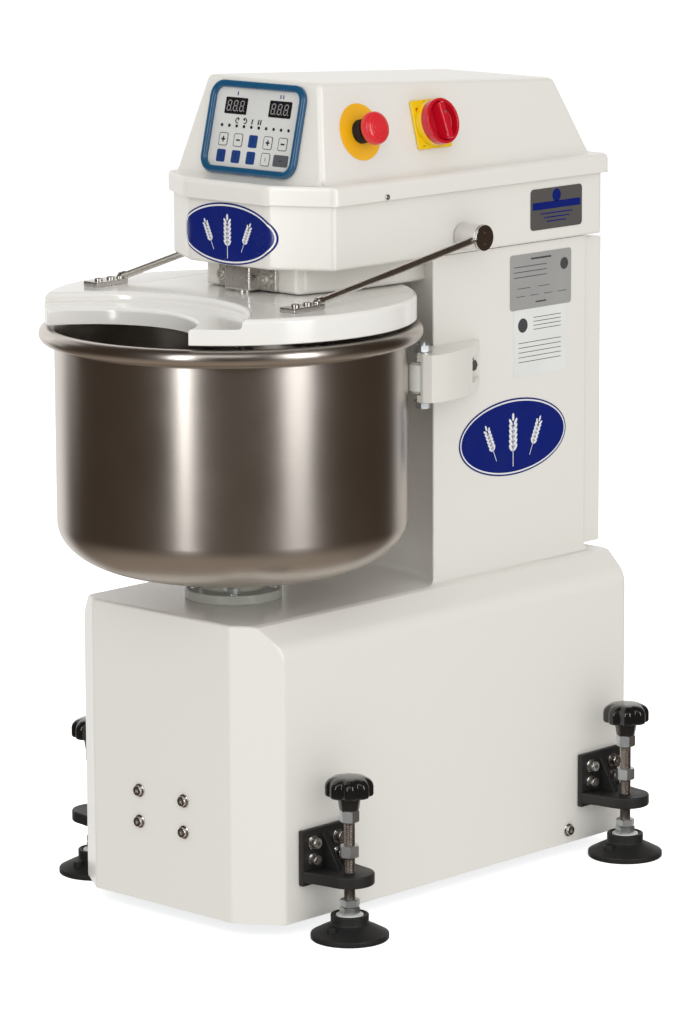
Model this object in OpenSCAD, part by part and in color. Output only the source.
// Commercial stand mixer: a floor-standing spiral dough mixer with a turning bowl.
// Millimetres, +Z up. The operator stands on the -Y side, where the bowl is.
// The origin is on the floor, at the centre of the plan.

/* [Overall] */
// Depth from the front of the bowl rim to the back of the base
overall_depth = 768; // [764:1:776]
// Height of the top cover's front edge above the floor
overall_height = 1003; // [998:1:1012]

/* [Bowl] */
// Outer radius of the rolled rim
rim_r = 230.5; // [229:0.5:232]
// Outer radius of the bowl's wall
bowl_r = 212; // [210:0.5:213]
// Height of the rolled rim's centre
rim_z = 705; // [702:1:706]
// Thickness of the rolled rim
rim_t = 20; // [19.5:0.25:20.5]
// Height of the underside of the bowl
bowl_bottom_z = 417; // [416:1:420]
// Thickness of the sheet
bowl_wall = 3; // [2:0.5:4]

/* [Base] */
// Width of the base
base_w = 342; // [338:1:344]
// Height of the top of the base
base_top_z = 380; // [378:1:381]
// Height of the underside of the base
base_bottom_z = 18; // [17:1:22]
// Width of the front face between its corner chamfers
base_front_w = 234; // [226:1:240]
// Thickness of the base's sheet
base_wall = 3; // [2:0.5:4]

/* [Column] */
// Width of the column
column_w = 260; // [256:1:262]
// Gap between the bowl rim and the column's curved front wall
column_gap = 22; // [20:1:24]
// Height of the top of the column
column_top_z = 783; // [782:1:784]

/* [Head] */
// Width of the head
head_w = 272; // [268:1:274]
// Height of the head's underside
head_bottom_z = 784; // [784:1:785]
// Height of the top cover's lower edge
lip_z = 861; // [859:1:863]
// Thickness of the head's sheet
head_wall = 3; // [2:0.5:3]

/* [Lid] */
// Radius of the lid
lid_r = 223; // [221:1:224]
// Height of the lid's lower edge
lid_bottom_z = 720; // [718:1:721]
// Height of the lid's top
lid_top_z = 750; // [749:1:750]
// Radius of the ingredient port
port_r = 130; // [120:1:132]
// Radius of the lowered ledge round the port
ledge_r = 180; // [176:1:184]

/* [Feet] */
// Sideways distance of each foot from the middle
foot_x = 219; // [217:1:221]
// Radius of each foot's pad
pad_r = 47; // [44:1:48]
// Radius of each foot's threaded rod
rod_r = 7; // [6:0.5:8]

/* [Drives] */
// Radius of the pulley on the bowl shaft
bowl_pulley_r = 110; // [100:1:112]
// Radius of the bowl motor's pulley
bowl_motor_pulley_r = 30; // [28:1:34]
// Radius of the pulley on the spiral shaft
spiral_pulley_r = 105; // [96:1:108]
// Radius of the spiral motor's pulley
spiral_motor_pulley_r = 35; // [32:1:38]

/* [Hidden] */
$fn = 72;

white_paint = [0.91, 0.90, 0.87];
cast_white = [0.86, 0.85, 0.81];
steel = [0.72, 0.71, 0.69];
zinc = [0.66, 0.70, 0.72];
dark = [0.10, 0.10, 0.10];
run = 0.05;      // radial clearance of a running fit
gap = 0.3;       // clearance between curved faces of different bodies
eps = 0.01;

// Places along the depth, counted from the bowl's axis
back_y = overall_depth / 2;
bowl_y = rim_r - back_y;
base_front_y = bowl_y - 125;
column_r = rim_r + column_gap;
column_back_y = bowl_y + 502;
head_front_y = bowl_y - 4;
head_back_y = bowl_y + 527;
spiral_y = bowl_y + 118;
bar_y = bowl_y + 23;
arm_front_y = bowl_y + 33.5;
spiral_motor_y = bowl_y + 388;
bowl_motor_y = bowl_y + 284;

// ---------- shared shapes ----------
function ellipse(a, b, n = 48) = [for (i = [0:n - 1]) [a * cos(360 * i / n), b * sin(360 * i / n)]];

module ring(r_out, r_in, h) {
    difference() {
        cylinder(r = r_out, h = h);
        translate([0, 0, -1]) cylinder(r = r_in, h = h + 2);
    }
}

module rounded(w, h, r) {
    square([w - 2 * r, h], center = true);
    square([w, h - 2 * r], center = true);
    for (x = [-1, 1], y = [-1, 1]) translate([x * (w / 2 - r), y * (h / 2 - r)]) circle(r);
}

// Points from one angle to another round a centre
function arc(r, y, a0, a1, n = 48) = [for (i = [0:n]) let (a = a0 + (a1 - a0) * i / n) [r * cos(a), y + r * sin(a)]];

// A belt's outline round two wheels, the first at the origin and the second at y = d
module belt_outline(r1, r2, d) {
    a = asin((r1 - r2) / d);
    polygon(concat(arc(r1, 0, 180 - a, 360 + a), arc(r2, d, a, 180 - a)));
}

module belt(r1, r2, d, thick, h) {
    linear_extrude(h) difference() {
        belt_outline(r1 + gap + thick, r2 + gap + thick, d);
        belt_outline(r1 + gap, r2 + gap, d);
    }
}

module pulley(r, bore, h) {
    groove = 5;
    grooves = 3;
    pitch = h / grooves;
    difference() {
        cylinder(r = r, h = h);
        translate([0, 0, -1]) cylinder(r = bore, h = h + 2);
        for (i = [0:grooves - 1]) translate([0, 0, (i + 0.5) * pitch]) rotate_extrude()
            polygon([[r + 1, -3.4], [r + 1, 3.4], [r - groove, 1.5], [r - groove, -1.5]]);
        if (r > 60) for (k = [0:4]) rotate(72 * k) translate([r * 0.56, 0, -1]) cylinder(r = r * 0.2, h = h + 2);
    }
}

module hex_nut(af, h, bore) {
    difference() {
        cylinder(d = af / cos(30), h = h, $fn = 6);
        translate([0, 0, -1]) cylinder(r = bore, h = h + 2);
    }
}

// A screw that stands on a face, its shank reaching below the face; +Z points out
module socket_screw(head_r, head_h, shank_r, shank_l) {
    difference() {
        union() {
            cylinder(r = head_r, h = head_h);
            translate([0, 0, -shank_l]) cylinder(r = shank_r, h = shank_l + eps);
        }
        translate([0, 0, head_h * 0.45]) cylinder(r = head_r * 0.52, h = head_h, $fn = 6);
    }
}

module hex_bolt(af, head_h, shank_r, shank_l) {
    washer_h = 1.6;
    cylinder(r = af * 0.8, h = washer_h);
    translate([0, 0, washer_h - eps]) cylinder(d = af / cos(30), h = head_h, $fn = 6);
    translate([0, 0, -shank_l]) cylinder(r = shank_r, h = shank_l + eps);
}

// ---------- base ----------
base_chamfer_y = 36;
base_chamfer_x = (base_w - base_front_w) / 2;
base_bend_r = 30;
base_bend_z = base_top_z - 42;
chamfer_a = atan2(base_chamfer_y, base_chamfer_x);

module base_plan(inset) {
    side = base_w / 2 - inset;
    front = base_front_w / 2 - inset * tan(chamfer_a / 2);
    corner_y = base_front_y + base_chamfer_y + inset * tan(45 - chamfer_a / 2);
    polygon([[-front, base_front_y + inset], [front, base_front_y + inset], [side, corner_y],
        [side, back_y - inset], [-side, back_y - inset], [-side, corner_y]]);
}

// Rolled upper edge of the base's side: an eighth of a circle, then a straight slope up to the crease
function base_bend(inset) = [for (a = [0:5:45])
    [base_w / 2 - base_bend_r + (base_bend_r - inset) * cos(a), base_bend_z + (base_bend_r - inset) * sin(a)]];

module base_section(inset, bottom_z) {
    bend = base_bend(inset);
    last = bend[len(bend) - 1];
    top_z = base_top_z - inset;
    right = concat([[base_w / 2 - inset, bottom_z]], bend, [[last[0] - top_z + last[1], top_z]]);
    polygon(concat(right, [for (k = [len(right) - 1:-1:0]) [-right[k][0], right[k][1]]]));
}

module base_solid(inset, bottom_z) {
    intersection() {
        linear_extrude(base_top_z) base_plan(inset);
        translate([0, back_y + 10, 0]) rotate([90, 0, 0]) linear_extrude(overall_depth) base_section(inset, bottom_z);
    }
}

front_bolt_x = 38;
front_bolt_z = [116, 154.5];
front_bolt_r = 5;
flange_bolt_r = 48;
flange_bolt_shank = 5;
foot_y = [bowl_y - 28.5, bowl_y + 479.5];
bracket_screw_y = 21;
bracket_screw_z = [93, 114];
screw_shank = 4;
side_bolt_y = bowl_y + 424.5;
side_bolt_z = 35;

module base_holes(r_extra) {
    translate([0, bowl_y, base_top_z - 20]) cylinder(r = 45 + gap, h = 40);
    for (k = [0:3]) translate([0, bowl_y, base_top_z - 20]) rotate(45 + 90 * k)
        translate([flange_bolt_r, 0, 0]) cylinder(r = flange_bolt_shank + r_extra, h = 40);
    for (x = [-1, 1], z = front_bolt_z) translate([x * front_bolt_x, base_front_y + 20, z])
        rotate([90, 0, 0]) cylinder(r = front_bolt_r + r_extra, h = 40);
    for (s = [-1, 1], y = foot_y, dy = [-1, 1], z = bracket_screw_z)
        translate([s * (base_w / 2 - 20), y + dy * bracket_screw_y, z]) rotate([0, s * 90, 0])
            cylinder(r = screw_shank + r_extra, h = 40);
    for (s = [-1, 1]) translate([s * (base_w / 2 - 20), side_bolt_y, side_bolt_z]) rotate([0, s * 90, 0])
        cylinder(r = screw_shank + r_extra, h = 40);
    translate([-90, bowl_y + 330, base_top_z - 20]) cube([180, 120, 40]);
}

module base_shell() {
    color(white_paint) difference() {
        base_solid(0, base_bottom_z);
        base_solid(base_wall, base_bottom_z - 5);
        base_holes(0.2);
    }
}

deck_z = 104;
deck_t = 6;
bowl_shaft_r = 20;
motor_shaft_r = 12;

module drive_deck() {
    side = base_w / 2 - base_wall - 0.2;
    front_y = base_front_y + 45;
    color("dimgray") difference() {
        union() {
            translate([-side, front_y, deck_z]) cube([2 * side, back_y - 6 - front_y, deck_t]);
            for (s = [-1, 1]) translate([s * (side - 20) - 2, front_y, base_bottom_z + 6])
                cube([4, back_y - 6 - front_y, deck_z - base_bottom_z - 6 + eps]);
            translate([0, 0, base_bottom_z + 3]) linear_extrude(4) base_plan(base_wall + 0.3);
        }
        translate([0, bowl_y, deck_z - 5]) cylinder(r = bowl_shaft_r + 4, h = 20);
        translate([0, bowl_motor_y, deck_z - 5]) cylinder(r = motor_shaft_r + 4, h = 20);
    }
}

gland_y = bowl_y + 470;
gland_z = 415;
gland_bore = 5;
gland_thread = 10;

module cable_gland() {
    color(dark) translate([-column_w / 2, gland_y, gland_z]) rotate([0, -90, 0]) difference() {
        union() {
            translate([0, 0, -14]) cylinder(r = gland_thread, h = 20);
            translate([0, 0, 0.1]) cylinder(d = 26 / cos(30), h = 7, $fn = 6);
            translate([0, 0, 7]) cylinder(r = 11.5, h = 9);
            translate([0, 0, -base_wall - 6.1]) cylinder(d = 26 / cos(30), h = 6, $fn = 6);
        }
        translate([0, 0, -20]) cylinder(r = gland_bore, h = 50);
    }
}

// ---------- column ----------
module column_plan(inset, back) {
    difference() {
        translate([-column_w / 2 + inset, bowl_y]) square([column_w - 2 * inset, back - bowl_y]);
        translate([0, bowl_y]) circle(column_r + inset, $fn = 180);
    }
}

module column_shell() {
    color(white_paint) difference() {
        translate([0, 0, base_top_z]) linear_extrude(column_top_z - base_top_z) difference() {
            column_plan(0, column_back_y);
            column_plan(base_wall, column_back_y + 5);
        }
        for (s = [-1, 1]) translate([s * (column_w / 2 - 20), roller_bolt_y, roller_bolt_z]) rotate([0, s * 90, 0])
            cylinder(r = roller_bolt_shank + 0.2, h = 40);
        translate([-column_w / 2 - 10, gland_y, gland_z]) rotate([0, 90, 0]) cylinder(r = gland_thread + 0.2, h = 20);
    }
}

rear_cover_w = 254;
rear_cover_z = [389, 779];
rear_cover_t = 2.5;

module rear_cover() {
    h = rear_cover_z[1] - rear_cover_z[0];
    depth = back_y - 2 - column_back_y;
    color(white_paint) difference() {
        translate([-rear_cover_w / 2, column_back_y + 0.2, rear_cover_z[0]]) cube([rear_cover_w, depth, h]);
        translate([-rear_cover_w / 2 + rear_cover_t, column_back_y - 5, rear_cover_z[0] + rear_cover_t])
            cube([rear_cover_w - 2 * rear_cover_t, depth + 5 - rear_cover_t, h - 2 * rear_cover_t]);
        for (i = [0:7], s = [-1, 1]) translate([s * 55 - 35, back_y - 12, 440 + i * 14]) cube([70, 20, 5]);
    }
}

module drive_controller() {
    w = 150;
    color("dimgray") translate([-w / 2, back_y - 2 - rear_cover_t - 46, 560]) {
        cube([w, 45.8, 170]);
        for (i = [0:9]) translate([8 + i * 14, -8, 12]) cube([4, 8 + eps, 146]);
    }
}

// ---------- head ----------
head_chamfer_y = 42;
head_facet = 66;
lip_out = 6;
lip_top_z = lip_z + 24;

module head_plan(inset) {
    side = head_w / 2 - inset;
    facet = head_facet - inset * 0.3;
    corner_y = head_front_y + head_chamfer_y + inset * 0.54;
    polygon([[-facet, head_front_y + inset], [facet, head_front_y + inset], [side, corner_y],
        [side, head_back_y - inset], [-side, head_back_y - inset], [-side, corner_y]]);
}

lid_pivot_y = bowl_y + 261.5;
lid_pivot_z = 806;
lid_shaft_r = 8;
bearing_r = 45;

module head_housing() {
    color(white_paint) difference() {
        translate([0, 0, head_bottom_z]) linear_extrude(lip_top_z - 3 - head_bottom_z) head_plan(0);
        translate([0, 0, head_bottom_z + head_wall]) linear_extrude(200) head_plan(head_wall);
        translate([0, spiral_y, head_bottom_z - 5]) cylinder(r = 34, h = 20);
        translate([-95, spiral_motor_y - 85, head_bottom_z - 5]) cube([190, 170, 20]);
        translate([-head_w, lid_pivot_y, lid_pivot_z]) rotate([0, 90, 0]) cylinder(r = lid_shaft_r + run, h = 2 * head_w);
    }
}

module arm_housing() {
    color(white_paint) difference() {
        translate([0, 0, lid_top_z + 1]) linear_extrude(head_bottom_z - lid_top_z - 1) intersection() {
            polygon([[-80, arm_front_y], [80, arm_front_y], [100, arm_front_y + 87], [103, arm_front_y + 152],
                [101, arm_front_y + 240], [-101, arm_front_y + 240], [-103, arm_front_y + 152],
                [-100, arm_front_y + 87]]);
            translate([0, bowl_y]) circle(column_r - 0.1, $fn = 180);
        }
        translate([0, spiral_y, lid_top_z - 5]) cylinder(r = bearing_r, h = 60);
    }
}

cover_front_y = [bowl_y + 29, bowl_y + 57.5];
cover_back_y = [bowl_y + 518.5, bowl_y + 480];
cover_half_w = [124, 94];
cover_back_z = overall_height - 23;
cover_wall = 2.5;
cover_side_a = atan2(cover_half_w[0] - cover_half_w[1], overall_height - lip_top_z);
cover_front_a = atan2(cover_front_y[1] - cover_front_y[0], overall_height - lip_top_z);

module cover_body(inset, bottom_z) {
    drop = lip_top_z - bottom_z;
    side_rate = (cover_half_w[0] - cover_half_w[1]) / (overall_height - lip_top_z);
    front_rate = (cover_front_y[1] - cover_front_y[0]) / (overall_height - lip_top_z);
    back_rate = (cover_back_y[0] - cover_back_y[1]) / (cover_back_z - lip_top_z);
    low_w = cover_half_w[0] + drop * side_rate - inset;
    high_w = cover_half_w[1] - inset;
    intersection() {
        rotate([90, 0, 0]) translate([0, 0, -head_back_y - 50]) linear_extrude(overall_depth)
            polygon([[-low_w, bottom_z], [low_w, bottom_z], [high_w, overall_height], [-high_w, overall_height]]);
        rotate([90, 0, 90]) translate([0, 0, -head_w]) linear_extrude(2 * head_w)
            polygon([[cover_front_y[0] - drop * front_rate + inset, bottom_z],
                [cover_front_y[1] + inset, overall_height - inset],
                [cover_back_y[1] - inset, cover_back_z - inset],
                [cover_back_y[0] + drop * back_rate - inset, bottom_z]]);
    }
}

// Puts a shape on the right-hand sloped side of the cover, +Z pointing out of it
module on_cover_side(y, z) {
    x = cover_half_w[0] - (z - lip_top_z) * tan(cover_side_a);
    translate([x, y, z]) rotate([0, 90 - cover_side_a, 0]) children();
}

// Puts a shape on the sloped front of the cover, +Y running up the slope
module on_cover_front(z) {
    y = cover_front_y[0] + (z - lip_top_z) * tan(cover_front_a);
    translate([0, y, z]) rotate([90 - cover_front_a, 0, 0]) children();
}

panel_z = 943;
bezel_w = 158;
bezel_h = 113;
bezel_t = 7;
bezel_rim = 9;
estop_y = bowl_y + 110.5;
switch_y = bowl_y + 233.5;
control_z = 942;
control_hole_r = 11;
cover_screw_y = bowl_y + 122.5;

module top_cover() {
    color(white_paint) difference() {
        union() {
            translate([0, 0, lip_z]) linear_extrude(lip_top_z - lip_z) head_plan(-lip_out);
            cover_body(0, lip_top_z);
        }
        translate([0, 0, lip_z - 5]) linear_extrude(lip_top_z - 3 - lip_z + 5) head_plan(-lip_out + cover_wall);
        cover_body(cover_wall, lip_top_z - 4);
        on_cover_front(panel_z) translate([0, 0, -10]) linear_extrude(20) square([110, 70], center = true);
        on_cover_side(estop_y, control_z) translate([0, 0, -10]) cylinder(r = control_hole_r + 0.2, h = 20);
        on_cover_side(switch_y, control_z) translate([0, 0, -10]) cylinder(r = control_hole_r + 0.2, h = 20);
    }
}

module control_bezel() {
    color([0.10, 0.37, 0.55]) on_cover_front(panel_z) translate([0, 0, 0.1]) linear_extrude(bezel_t) difference() {
        rounded(bezel_w, bezel_h, 20);
        rounded(bezel_w - 2 * bezel_rim, bezel_h - 2 * bezel_rim, 12);
    }
}

display_w = 37;
display_h = 20;
display_x = 37;
display_y = 26;
key = 14.5;
key_pitch = 24.9;
key_row_y = [-15, -35];

module control_panel() {
    t = 2.4;
    color([0.80, 0.81, 0.80]) on_cover_front(panel_z) translate([0, 0, 0.1]) difference() {
        union() {
            linear_extrude(t) rounded(bezel_w - 2 * bezel_rim - 0.6, bezel_h - 2 * bezel_rim - 0.6, 11.6);
            for (i = [0:4], j = [0:1]) translate([(i - 2) * key_pitch, key_row_y[j], t - eps])
                linear_extrude(0.7) rounded(key, key, 2);
        }
        for (s = [-1, 1]) translate([s * display_x, display_y, t - 1.2]) linear_extrude(5)
            square([display_w + 0.4, display_h + 0.4], center = true);
    }
}

module display_windows() {
    t = 2.4;
    color(dark) on_cover_front(panel_z) for (s = [-1, 1])
        translate([s * display_x, display_y, 0.1 + t - 1.2]) linear_extrude(1.6)
            square([display_w, display_h], center = true);
}

estop_stroke = 4;
estop_stem_r = 6;

module estop_label() {
    color([1, 0.73, 0]) on_cover_side(estop_y, control_z) translate([0, 0, 0.05])
        ring(34.5, control_hole_r + 0.3, 0.8);
}

module estop_collar() {
    color(dark) on_cover_side(estop_y, control_z) difference() {
        union() {
            translate([0, 0, 0.9]) cylinder(r = 14.5, h = 11);
            translate([0, 0, -32]) cylinder(r = control_hole_r, h = 33);
            translate([-15, -15, -52]) cube([30, 30, 22]);
        }
        translate([0, 0, -25]) cylinder(r = estop_stem_r + run, h = 60);
    }
}

module estop_stem() {
    color("gray") on_cover_side(estop_y, control_z) translate([0, 0, -20]) cylinder(r = estop_stem_r, h = 38);
}

module estop_button() {
    low = 16.5;
    color([0.86, 0.14, 0.16]) on_cover_side(estop_y, control_z) difference() {
        rotate_extrude() polygon([[0, low], [9, low], [12, low + 2], [20, low + 5], [20, low + 11],
            [18.5, low + 14.5], [15, low + 16.6], [8, low + 17.8], [0, low + 18]]);
        translate([0, 0, low - 5]) cylinder(r = estop_stem_r + run, h = 6.5 + gap);
    }
}

plate_side = 60;
plate_t = 3;
dial_r = 28;
dial_shaft_r = 5;

module switch_body() {
    color([0.98, 0.83, 0.05]) on_cover_side(switch_y, control_z) difference() {
        union() {
            translate([0, 0, 0.1]) linear_extrude(plate_t) rounded(plate_side, plate_side, 3);
            translate([0, 0, -24]) cylinder(r = control_hole_r, h = 25);
            translate([-24, -24, -62]) cube([48, 48, 38 + eps]);
        }
        translate([0, 0, -30]) cylinder(r = dial_shaft_r + run, h = 60);
    }
}

module switch_dial() {
    low = plate_t + 0.1 + gap;
    color([0.78, 0.05, 0.12]) on_cover_side(switch_y, control_z) {
        difference() {
            translate([0, 0, low]) cylinder(r = dial_r, h = 20);
            translate([0, 0, low + 13]) ring(23, 14, 10);
        }
        translate([-5, -dial_r + 3, low + 12]) cube([10, 2 * dial_r - 6, 14]);
        translate([0, 0, -20]) cylinder(r = dial_shaft_r, h = 20 + low + eps);
    }
}

module badges() {
    t = 0.7;
    color([0.02, 0.14, 0.50]) {
        intersection() {
            translate([0, 0, 780]) linear_extrude(81) difference() {
                head_plan(-t - 0.1);
                head_plan(-0.1);
            }
            translate([0, head_front_y + 60, 822]) rotate([90, 0, 0]) linear_extrude(80) polygon(ellipse(78, 37));
        }
        translate([column_w / 2 + 0.1, bowl_y + 363, 544]) rotate([90, 0, 90]) linear_extrude(t)
            polygon(ellipse(100, 48));
    }
    color(dark) translate([head_w / 2 + 0.1, bowl_y + 436.5, 824.5]) rotate([90, 0, 90]) linear_extrude(t)
        rounded(97, 51, 5);
    color(steel) translate([column_w / 2 + 0.1, bowl_y + 414.5, 736]) rotate([90, 0, 90]) linear_extrude(t)
        rounded(115, 69, 4);
}

// ---------- bowl and its drive ----------
knuckle_h = 61;
knuckle_w = 101;

function knuckle(r, z, w, h, n = 12) =
    [for (i = [0:n]) [r - w + w * sin(90 * i / n), z + h - h * cos(90 * i / n)]];

module bowl() {
    bead_r = rim_t / 2;
    inner_r = bowl_r - bowl_wall;
    color(steel) translate([0, bowl_y, 0]) rotate_extrude($fn = 120) {
        polygon(concat([[0, bowl_bottom_z]],
            knuckle(bowl_r, bowl_bottom_z, knuckle_w, knuckle_h),
            [[bowl_r, rim_z], [inner_r, rim_z]],
            [for (i = [12:-1:0]) knuckle(inner_r, bowl_bottom_z + bowl_wall, knuckle_w, knuckle_h)[i]],
            [[0, bowl_bottom_z + bowl_wall]]));
        translate([rim_r - bead_r, rim_z]) circle(bead_r);
    }
}

flange_r = 59;
hub_r = 37;
hub_top_z = bowl_bottom_z - 5;

module bowl_bearing_flange() {
    color(cast_white) translate([0, bowl_y, 0]) difference() {
        union() {
            translate([0, 0, base_top_z]) cylinder(r = flange_r, h = 12);
            translate([0, 0, base_top_z]) cylinder(r = hub_r, h = hub_top_z - base_top_z);
            translate([0, 0, base_top_z - 80]) cylinder(r = 45, h = 80 + eps);
        }
        translate([0, 0, base_top_z - 90]) cylinder(r = bowl_shaft_r + run, h = 200);
        for (k = [0:3]) rotate(45 + 90 * k) translate([flange_bolt_r, 0, base_top_z - 90])
            cylinder(r = flange_bolt_shank + 0.2, h = 200);
    }
}

module bowl_flange_bolts() {
    color(zinc) translate([0, bowl_y, base_top_z + 12]) for (k = [0:3]) rotate(45 + 90 * k)
        translate([flange_bolt_r, 0, 0.05]) hex_bolt(10, 6.5, flange_bolt_shank, 18);
}

pulley_h = 36;
bowl_pulley_z = 58;

module bowl_shaft() {
    color("silver") translate([0, bowl_y, 0]) {
        translate([0, 0, bowl_pulley_z - 6]) cylinder(r = bowl_shaft_r, h = hub_top_z + 1 - bowl_pulley_z + 6);
        translate([0, 0, hub_top_z + gap]) cylinder(r = 34, h = bowl_bottom_z - hub_top_z - gap - 0.05);
    }
}

module bowl_pulley() {
    color("dimgray") translate([0, bowl_y, bowl_pulley_z]) pulley(bowl_pulley_r, bowl_shaft_r + 0.05, pulley_h);
}

module bowl_motor_pulley() {
    color("dimgray") translate([0, bowl_motor_y, bowl_pulley_z]) {
        pulley(bowl_motor_pulley_r, 5, pulley_h);
        translate([0, 0, 1]) cylinder(r = motor_shaft_r, h = 120);
    }
}

module motor(r, h, shaft_clear) {
    difference() {
        union() {
            cylinder(r = r + 12, h = 10);
            cylinder(r = r, h = h);
            for (k = [0:11]) rotate(30 * k) translate([r - 1, -1.5, 20]) cube([6, 3, h - 60]);
            translate([-r - 22, -28, h * 0.4]) cube([30, 56, 70]);
            translate([0, 0, h - eps]) cylinder(r = r - 6, h = 18);
        }
        translate([0, 0, -1]) cylinder(r = shaft_clear, h = 80);
    }
}

module bowl_motor() {
    color("slategray") translate([0, bowl_motor_y, deck_z + deck_t + 0.05]) motor(68, 190, motor_shaft_r + run);
}

module bowl_belt() {
    color(dark) translate([0, bowl_y, bowl_pulley_z + 3])
        belt(bowl_pulley_r, bowl_motor_pulley_r, bowl_motor_y - bowl_y, 5, pulley_h - 6);
}

// ---------- spiral and its drive ----------
spiral_pulley_z = 826;
spiral_shaft_r = 20;
hook_r = 12;
hook_turns = 1.35;
hook_top_z = 690;
hook_low_z = 445;
hook_sides = 12;
hook_rings = 64;
shaft_foot_z = 704;

// The hook's centre line: out from the hub, round and down the helix, and in at the foot
function smooth(t) = t * t * (3 - 2 * t);
function clamp01(t) = min(1, max(0, t));
function hook_radius(t) = 66 * smooth(clamp01(t / 0.14)) - 26 * smooth(clamp01((t - 0.82) / 0.18));
function hook_height(t) = hook_top_z - (hook_top_z - hook_low_z) * (0.25 * t + 0.75 * smooth(t));
function hook_point(t) = [hook_radius(t) * cos(-360 * hook_turns * t + 200),
    hook_radius(t) * sin(-360 * hook_turns * t + 200), hook_height(t)];
function unit(v) = v / norm(v);
function hook_tangent(t) = unit(hook_point(min(1, t + 0.004)) - hook_point(max(0, t - 0.004)));
function hook_ring(t) = let (d = hook_tangent(t), s = unit(cross(d, [0, 0, 1])), u = cross(s, d), p = hook_point(t))
    [for (k = [0:hook_sides - 1]) p + hook_r * (cos(360 * k / hook_sides) * s + sin(360 * k / hook_sides) * u)];

module hook_bar() {
    n = hook_sides;
    points = [for (i = [0:hook_rings], p = hook_ring(0.02 + 0.98 * i / hook_rings)) p];
    walls = [for (i = [0:hook_rings - 1], k = [0:n - 1])
        [i * n + k, i * n + (k + 1) % n, (i + 1) * n + (k + 1) % n, (i + 1) * n + k]];
    polyhedron(points, concat([[for (k = [n - 1:-1:0]) k]], walls, [[for (k = [0:n - 1]) hook_rings * n + k]]));
}

module spiral_hook() {
    color(steel) translate([0, spiral_y, 0]) union() {
        hook_bar();
        difference() {
            translate([0, 0, 676]) cylinder(r = 30, h = 40);
            translate([0, 0, shaft_foot_z]) cylinder(r = spiral_shaft_r + 0.05, h = 40);
        }
    }
}

module spiral_shaft() {
    color("silver") translate([0, spiral_y, shaft_foot_z + 0.1])
        cylinder(r = spiral_shaft_r, h = spiral_pulley_z + pulley_h + 8 - shaft_foot_z);
}

module spiral_pulley() {
    color("dimgray") translate([0, spiral_y, spiral_pulley_z]) pulley(spiral_pulley_r, spiral_shaft_r + 0.05, pulley_h);
}

module spiral_motor_pulley() {
    color("dimgray") translate([0, spiral_motor_y, spiral_pulley_z]) {
        pulley(spiral_motor_pulley_r, 5, pulley_h);
        translate([0, 0, -90]) cylinder(r = motor_shaft_r, h = 120);
    }
}

module spiral_motor() {
    plate_z = 762;
    plate_half = column_w / 2 - base_wall - 0.2;
    color("slategray") {
        translate([0, spiral_motor_y, plate_z - 0.05]) rotate([180, 0, 0]) motor(74, 230, motor_shaft_r + run);
        difference() {
            translate([-plate_half, spiral_motor_y - 95, plate_z]) cube([2 * plate_half, 200, 8]);
            translate([0, spiral_motor_y, plate_z - 5]) cylinder(r = motor_shaft_r + 3, h = 20);
        }
    }
}

module spiral_bearings() {
    color("silver") translate([0, spiral_y, 0]) {
        translate([0, 0, lid_top_z + 3]) ring(bearing_r - 0.05, spiral_shaft_r + run, 28);
        translate([0, 0, head_bottom_z + head_wall]) ring(52, spiral_shaft_r + run, 26);
    }
}

module spiral_belt() {
    color(dark) translate([0, spiral_y, spiral_pulley_z + 3])
        belt(spiral_pulley_r, spiral_motor_pulley_r, spiral_motor_y - spiral_y, 5, pulley_h - 6);
}

// ---------- breaker bar ----------
bar_r = 10;
clamp_z = lid_top_z + 3;
clamp_h = head_bottom_z - 1 - clamp_z;
flange_t = 6;
clamp_screw_x = 35;

module breaker_bar() {
    color(steel) translate([0, bar_y, 0]) {
        translate([0, 0, 446]) cylinder(r = bar_r, h = head_bottom_z - 2 - 446);
        translate([0, 0, 446]) sphere(r = bar_r);
    }
}

module bar_clamp() {
    block_w = 42;
    front_y = bar_y - bar_r - 3;
    color(steel) difference() {
        union() {
            translate([-block_w / 2, front_y, clamp_z]) cube([block_w, arm_front_y - 0.1 - front_y, clamp_h]);
            translate([-48, arm_front_y - flange_t - 0.1, clamp_z]) cube([96, flange_t, clamp_h]);
        }
        translate([0, bar_y, clamp_z - 5]) cylinder(r = bar_r + 0.05, h = clamp_h + 10);
        for (s = [-1, 1]) translate([s * clamp_screw_x, arm_front_y + 5, clamp_z + clamp_h / 2])
            rotate([90, 0, 0]) cylinder(r = screw_shank + 0.2, h = 20);
    }
}

module bar_clamp_screws() {
    color(steel) for (s = [-1, 1]) translate([s * clamp_screw_x, arm_front_y - flange_t - 0.15, clamp_z + clamp_h / 2])
        rotate([90, 0, 0]) socket_screw(7.5, 8, screw_shank, flange_t - 0.5);
}

// ---------- lid ----------
port_y = -240;
slot_half = 147.5;
slot_front = -37;
lid_wall = 4.5;
lid_skin = 5;
ledge_top_z = lid_top_z - 11;
seam = 1;

// The lid's plan, drawn in by an inset on every side
module lid_plan(inset) {
    half = slot_half + inset;
    difference() {
        circle(lid_r - inset, $fn = 180);
        translate([-half, slot_front - inset]) square([2 * half, lid_r * 2]);
        translate([0, port_y]) circle(port_r + inset, $fn = 180);
    }
}

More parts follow.
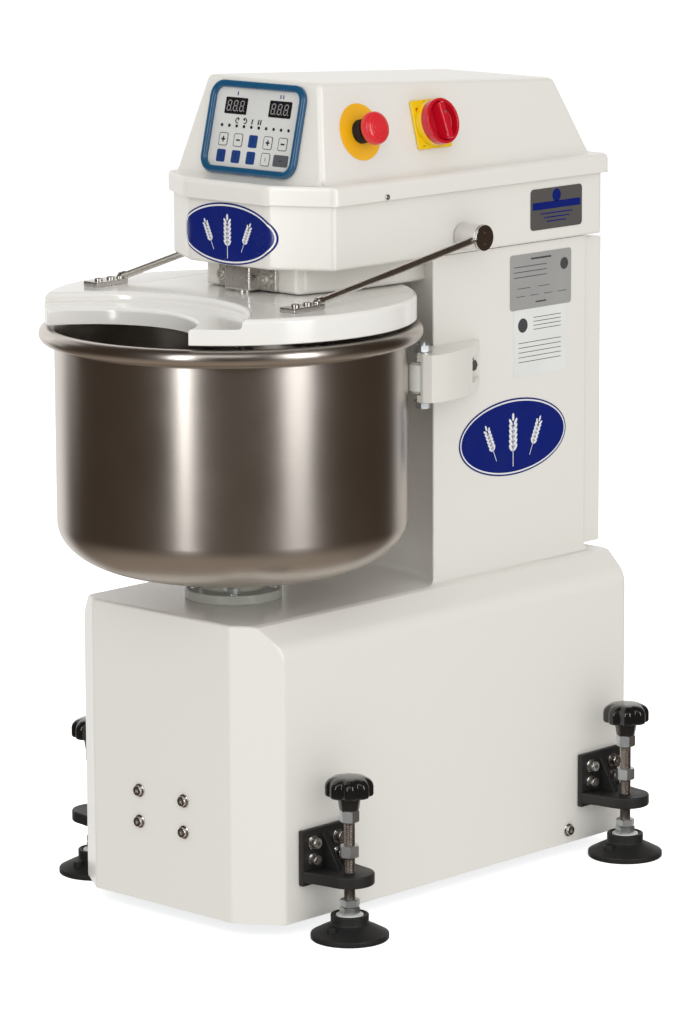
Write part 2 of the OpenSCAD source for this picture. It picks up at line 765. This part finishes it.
module lid() {
    under_ledge_z = ledge_top_z - lid_skin;
    color(white_paint) translate([0, bowl_y, 0]) difference() {
        translate([0, 0, lid_bottom_z]) linear_extrude(lid_top_z - lid_bottom_z) lid_plan(0);
        translate([0, port_y, ledge_top_z]) cylinder(r = ledge_r, h = 50, $fn = 180);
        translate([0, 0, lid_bottom_z - 1]) linear_extrude(under_ledge_z - lid_bottom_z + 1) lid_plan(lid_wall);
        translate([0, 0, under_ledge_z - 1]) linear_extrude(lid_top_z - lid_skin - under_ledge_z + 1) difference() {
            lid_plan(lid_wall);
            translate([0, port_y]) circle(ledge_r + lid_wall, $fn = 180);
        }
    }
}

module rear_bowl_cover() {
    color(white_paint) difference() {
        translate([0, bowl_y, 0]) {
            translate([0, 0, lid_top_z - lid_skin]) linear_extrude(lid_skin) infill_plan(0);
            translate([0, 0, lid_bottom_z]) linear_extrude(lid_top_z - lid_bottom_z) difference() {
                infill_plan(0);
                infill_plan(lid_wall);
            }
        }
        translate([0, spiral_y, 0]) cylinder(r = spiral_shaft_r + 4, h = overall_height);
        translate([0, bar_y, 0]) cylinder(r = bar_r + 0.5, h = overall_height);
    }
}

module infill_plan(inset) {
    half = slot_half - seam - inset;
    intersection() {
        circle(lid_r - inset, $fn = 180);
        translate([-half, slot_front + seam + inset]) square([2 * half, lid_r * 2]);
    }
}

arm_x = 166;
arm_r = 4.5;
lid_hub_r = 16;
plate_y = [bowl_y - 74, bowl_y - 22];
arm_foot_z = lid_top_z + 6;
arm_angle = atan2(lid_pivot_z - arm_foot_z, lid_pivot_y - plate_y[1]);

module lid_arms() {
    color(steel) for (s = [-1, 1]) translate([s * arm_x, 0, 0]) {
        difference() {
            translate([-12, plate_y[0], lid_top_z + 0.1]) cube([24, plate_y[1] - plate_y[0], 6]);
            for (y = [14, 34]) translate([0, plate_y[0] + y, lid_top_z - 5]) cylinder(r = 3.2, h = 20);
        }
        difference() {
            translate([0, lid_pivot_y, lid_pivot_z]) rotate([90 + arm_angle, 0, 0])
                cylinder(r = arm_r, h = norm([lid_pivot_z - arm_foot_z, lid_pivot_y - plate_y[1]]) + 3);
            translate([-50, lid_pivot_y, lid_pivot_z]) rotate([0, 90, 0]) cylinder(r = lid_hub_r + 0.05, h = 100);
            translate([-20, plate_y[0] - 50, lid_top_z - 20]) cube([40, 200, 20.1]);
        }
    }
}

module lid_shaft() {
    hub_in = head_w / 2 + 1;
    hub_out = head_w / 2 + 38;
    color([0.85, 0.85, 0.86]) {
        translate([-hub_in - 1, lid_pivot_y, lid_pivot_z]) rotate([0, 90, 0]) cylinder(r = lid_shaft_r, h = 2 * hub_in + 2);
        for (s = [-1, 1]) translate([s * hub_in, lid_pivot_y, lid_pivot_z]) rotate([0, s * 90, 0]) difference() {
            cylinder(r = lid_hub_r, h = hub_out - hub_in);
            for (k = [-1, 1]) translate([0, k * 7, hub_out - hub_in - 5]) cylinder(r = 2.5, h = 10);
        }
    }
}

module lid_screws() {
    color(steel) for (s = [-1, 1], y = [14, 34])
        translate([s * arm_x, plate_y[0] + y, lid_top_z + 6.15]) socket_screw(5.5, 4.5, 3, 5.8);
}

// ---------- bowl guide rollers ----------
roller_r = 18;
roller_angle = 47;
roller_reach = bowl_r + roller_r + 0.4;
roller_x = roller_reach * cos(roller_angle);
roller_y = bowl_y + roller_reach * sin(roller_angle);
roller_z = [626.5, 665];
roller_pin_r = 5;
casting_z = [617, 675];
roller_bolt_y = bowl_y + 272;
roller_bolt_z = 646;
roller_bolt_shank = 5;

module roller_bracket() {
    side = column_w / 2 + 0.1;
    pocket_h = roller_z[1] - roller_z[0] + 2;
    color(white_paint) difference() {
        translate([0, 0, casting_z[0]]) linear_extrude(casting_z[1] - casting_z[0])
            polygon([[side, bowl_y + 212], [side, bowl_y + 292], [side + 8, bowl_y + 292],
                [side + 30, bowl_y + 262], [side + 46, bowl_y + 232], [roller_x + 27, roller_y + 20],
                [roller_x + 28, roller_y], [roller_x + 24, roller_y - 10], [roller_x + 15, roller_y - 16],
                [roller_x + 5, roller_y - 16]]);
        translate([0, bowl_y, casting_z[0] - 5]) cylinder(r = bowl_r + 1.5, h = 100, $fn = 180);
        translate([roller_x, roller_y, roller_z[0] - 1]) {
            cylinder(r = roller_r + 1.2, h = pocket_h);
            translate([-40, -40, 0]) cube([46, 50, pocket_h]);
        }
        translate([roller_x, roller_y, casting_z[0] - 5]) cylinder(r = roller_pin_r + 0.05, h = 100);
        translate([side + 8, bowl_y + 244, roller_bolt_z - 16]) cube([60, 60, 32]);
        translate([column_w / 2 - 5, roller_bolt_y, roller_bolt_z]) rotate([0, 90, 0])
            cylinder(r = roller_bolt_shank + 0.2, h = 40);
    }
}

module roller_bracket_right() {
    roller_bracket();
}

module roller_bracket_left() {
    mirror([1, 0, 0]) roller_bracket();
}

module guide_roller_right() {
    color([0.90, 0.91, 0.90]) translate([roller_x, roller_y, roller_z[0]])
        ring(roller_r, roller_pin_r + run, roller_z[1] - roller_z[0]);
}

module guide_roller_left() {
    color([0.90, 0.91, 0.90]) translate([-roller_x, roller_y, roller_z[0]])
        ring(roller_r, roller_pin_r + run, roller_z[1] - roller_z[0]);
}

module roller_bolts() {
    color(zinc) for (m = [0, 1]) mirror([m, 0, 0]) {
        translate([roller_x, roller_y, casting_z[0] - 8]) cylinder(r = roller_pin_r, h = 78);
        translate([roller_x, roller_y, casting_z[1] + 0.05]) ring(11, roller_pin_r - 0.5, 1.5);
        translate([roller_x, roller_y, casting_z[1] + 1.5]) hex_nut(16, 8, roller_pin_r - 0.5);
        translate([roller_x, roller_y, casting_z[0] - 1.55]) ring(11, roller_pin_r - 0.5, 1.5);
        translate([roller_x, roller_y, casting_z[0] - 9]) hex_nut(16, 7.5, roller_pin_r - 0.5);
        translate([column_w / 2 + 8.15, roller_bolt_y, roller_bolt_z]) rotate([0, 90, 0])
            hex_bolt(13, 7, roller_bolt_shank, 20);
    }
}

// ---------- feet ----------
shelf_z = [67, 81];
bracket_z = [62, 130];
bracket_half = 38;
pitch = 2;

module foot_at(sx, y) {
    translate([sx * foot_x, y, 0]) mirror([sx < 0 ? 1 : 0, 0, 0]) children();
}

module foot_bracket(sx, y) {
    wall = base_w / 2 - foot_x + 0.1;
    color(dark) foot_at(sx, y) difference() {
        union() {
            translate([wall, -bracket_half, bracket_z[0]]) cube([8, 2 * bracket_half, bracket_z[1] - bracket_z[0]]);
            translate([0, 0, shelf_z[0]]) linear_extrude(shelf_z[1] - shelf_z[0]) {
                circle(30);
                polygon([[wall, -bracket_half], [-4, -29.8], [0, 0], [-4, 29.8], [wall, bracket_half]]);
            }
            translate([0, 4, 0]) rotate([90, 0, 0]) linear_extrude(8)
                polygon([[wall + 7, bracket_z[1] - 4], [wall + 7, shelf_z[1] - 1], [-12, shelf_z[1] - 1]]);
        }
        cylinder(r = rod_r + run, h = 200);
        for (dy = [-1, 1], z = bracket_screw_z) translate([wall - 5, dy * bracket_screw_y, z])
            rotate([0, 90, 0]) cylinder(r = screw_shank + 0.2, h = 20);
    }
}

module lobed_knob(r, h, lobes) {
    difference() {
        cylinder(r = r, h = h);
        for (k = [0:lobes - 1]) rotate(360 * k / lobes) translate([r + 3.5, 0, -1]) cylinder(r = 6, h = h + 2, $fn = 32);
    }
}

module foot_screw(sx, y) {
    nut_af = 21;
    color(zinc) translate([sx * foot_x, y, 0]) {
        translate([0, 0, 22]) cylinder(r = rod_r, h = 140);
        for (z = [30.3, 39.3]) translate([0, 0, z]) hex_nut(nut_af, 8.5, rod_r - 1);
        translate([0, 0, 100]) hex_nut(nut_af, 14, rod_r - 1);
        translate([0, 0, 143]) hex_nut(nut_af, 14, rod_r - 1);
        translate([0, 0, 157 - eps]) cylinder(r = 14.5, h = 16);
        translate([0, 0, 172]) lobed_knob(29, 22, 8);
        translate([0, 0, 194 - eps]) cylinder(r1 = 25, r2 = 12, h = 6);
    }
}

module foot_pad(sx, y) {
    color(dark) translate([sx * foot_x, y, 0]) difference() {
        rotate_extrude() polygon([[0, 0], [pad_r, 0], [pad_r, 6], [pad_r - 3, 9], [36, 13.5], [28, 16.5], [23, 18.5],
            [22.5, 30], [0, 30]]);
        translate([0, 0, 20]) cylinder(r = rod_r + run, h = 20);
    }
}

module foot_bracket_front_right() { foot_bracket(1, foot_y[0]); }
module foot_bracket_front_left() { foot_bracket(-1, foot_y[0]); }
module foot_bracket_rear_right() { foot_bracket(1, foot_y[1]); }
module foot_bracket_rear_left() { foot_bracket(-1, foot_y[1]); }
module foot_screw_front_right() { foot_screw(1, foot_y[0]); }
module foot_screw_front_left() { foot_screw(-1, foot_y[0]); }
module foot_screw_rear_right() { foot_screw(1, foot_y[1]); }
module foot_screw_rear_left() { foot_screw(-1, foot_y[1]); }
module foot_pad_front_right() { foot_pad(1, foot_y[0]); }
module foot_pad_front_left() { foot_pad(-1, foot_y[0]); }
module foot_pad_rear_right() { foot_pad(1, foot_y[1]); }
module foot_pad_rear_left() { foot_pad(-1, foot_y[1]); }

module frame_bolts() {
    color(zinc) {
        for (x = [-1, 1], z = front_bolt_z) translate([x * front_bolt_x, base_front_y - 0.05, z])
            rotate([90, 0, 0]) socket_screw(8, 5, front_bolt_r, 12);
        for (s = [-1, 1], y = foot_y, dy = [-1, 1], z = bracket_screw_z)
            translate([s * (base_w / 2 + 8.15), y + dy * bracket_screw_y, z]) rotate([0, s * 90, 0])
                socket_screw(6.5, 8, screw_shank, 16);
        for (s = [-1, 1]) translate([s * (base_w / 2 + 0.05), side_bolt_y, side_bolt_z]) rotate([0, s * 90, 0])
            socket_screw(8, 5, screw_shank, 10);
    }
}

base_shell();
drive_deck();
column_shell();
rear_cover();
head_housing();
arm_housing();
top_cover();
rear_bowl_cover();
breaker_bar();
bar_clamp();
bar_clamp_screws();
control_bezel();
control_panel();
display_windows();
estop_label();
estop_collar();
switch_body();
spiral_motor();
spiral_bearings();
spiral_belt();
bowl_motor();
bowl_bearing_flange();
bowl_flange_bolts();
bowl_belt();
roller_bracket_right();
roller_bracket_left();
roller_bolts();
badges();
frame_bolts();
cable_gland();
drive_controller();
foot_bracket_front_right();
foot_bracket_front_left();
foot_bracket_rear_right();
foot_bracket_rear_left();
bowl();
bowl_shaft();
bowl_pulley();
bowl_motor_pulley();
spiral_hook();
spiral_shaft();
spiral_pulley();
spiral_motor_pulley();
guide_roller_right();
guide_roller_left();
lid();
lid_arms();
lid_shaft();
lid_screws();
estop_stem();
estop_button();
switch_dial();
foot_screw_front_right();
foot_screw_front_left();
foot_screw_rear_right();
foot_screw_rear_left();
foot_pad_front_right();
foot_pad_front_left();
foot_pad_rear_right();
foot_pad_rear_left();
